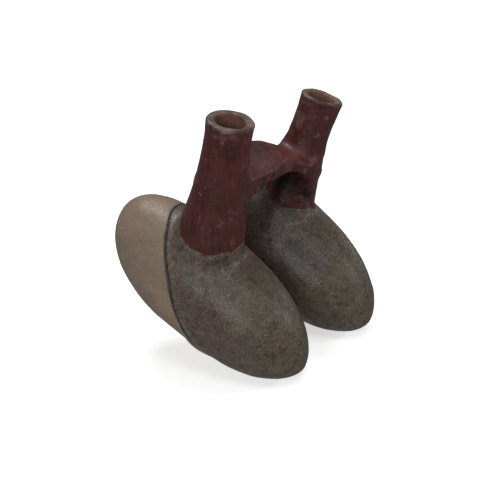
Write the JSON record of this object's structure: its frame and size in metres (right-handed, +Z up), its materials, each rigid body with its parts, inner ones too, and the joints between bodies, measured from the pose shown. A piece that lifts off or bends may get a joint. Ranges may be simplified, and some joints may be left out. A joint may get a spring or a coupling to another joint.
{
  "type": "stirrup spout vessel",
  "caption": "Hollow fired-clay vessel with twin reclining oval bodies and leaning spouts joined by a saddle-shaped bridge.",
  "frame": {"origin": "on the ground plane, under the centre of the vessel's bounding box", "axes": "+Z up; +X across the vessel, from the body with the higher spout to the other one; -Y towards the low, dark ends of the bodies"},
  "size_m": [0.1346, 0.1304, 0.1541],
  "materials": {
    "fired_clay": "satin"
  },
  "bodies": {
    "root": {"vessel": "fired_clay"}
  },
  "joints": []
}
